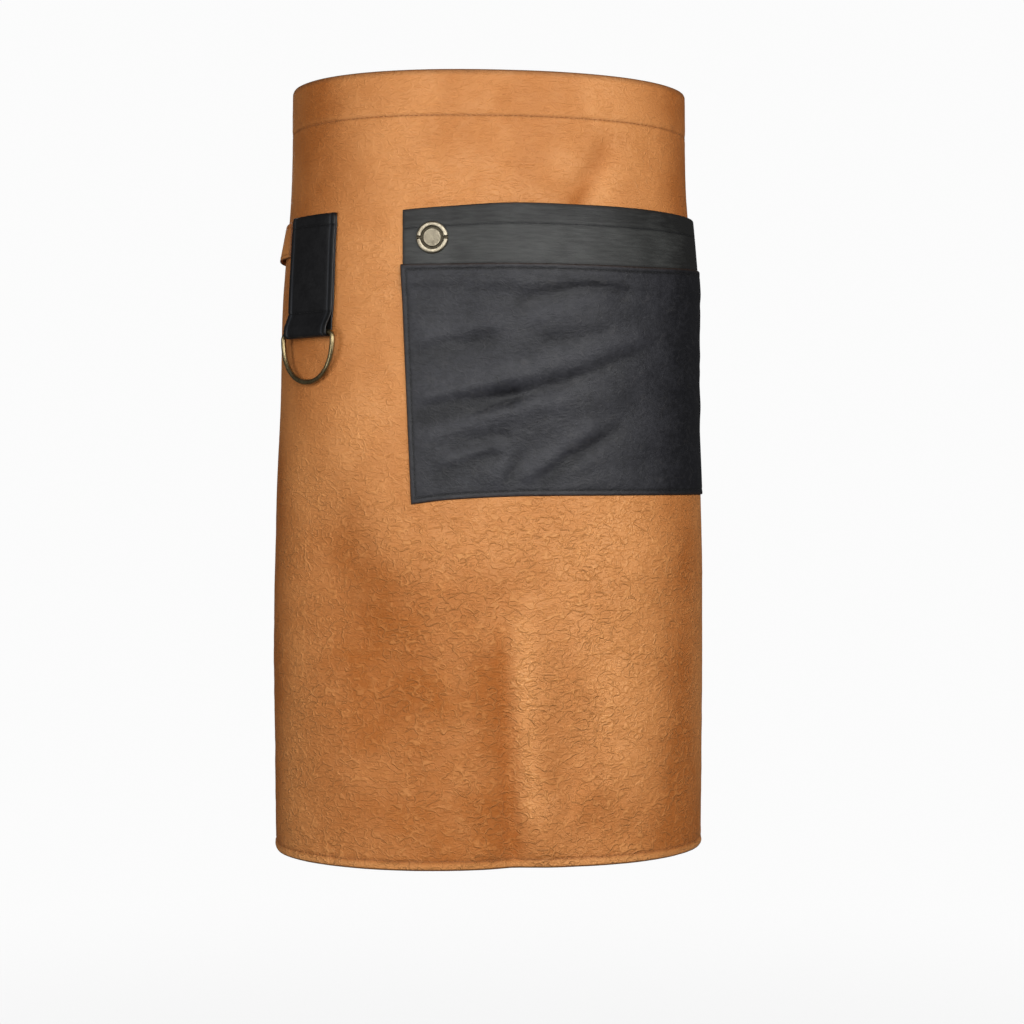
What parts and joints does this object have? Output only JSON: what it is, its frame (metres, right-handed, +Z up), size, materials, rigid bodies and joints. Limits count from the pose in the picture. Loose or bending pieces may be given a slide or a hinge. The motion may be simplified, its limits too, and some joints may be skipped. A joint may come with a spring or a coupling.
{
  "type": "leather apron",
  "caption": "Half-length waist apron in tan crinkled leather, shaped as worn, with a wide black pocket, a metal stud, and a hanger strap holding a swinging D-ring.",
  "frame": {"origin": "middle of the wearer's waist, at mid height of the waist strap", "axes": "+Z up; the apron's front faces -Y; +X is towards the pocket, the viewer's right"},
  "size_m": [0.3682, 0.2717, 0.64],
  "materials": {
    "tan_leather": "crinkled grain, semi-matt",
    "tan_strap": "smooth, semi-matt",
    "black_leather": "pull-up, waxed, semi-matt",
    "band_leather": "smooth, satin",
    "strap_leather": "smooth, satin",
    "antique_brass": "aged, satin",
    "stud_metal": "worn antique plating"
  },
  "bodies": {
    "apron": {"apron_panel": "tan_leather", "pocket_front": "black_leather", "pocket_band": "band_leather", "pocket_stud": "stud_metal", "hanger_strap": "strap_leather", "waist_strap_left": "tan_strap", "waist_strap_right": "tan_strap", "strap_stud": "antique_brass"},
    "ring": {"d_ring": "antique_brass"}
  },
  "joints": [
    {"name": "ring_swing", "type": "hinge", "parent": "apron", "child": "ring", "pos_m": [-0.1595, -0.07042, -0.0805], "axis": [-0.6073, 0.7945, 0], "range_deg": [0, 175]}
  ]
}
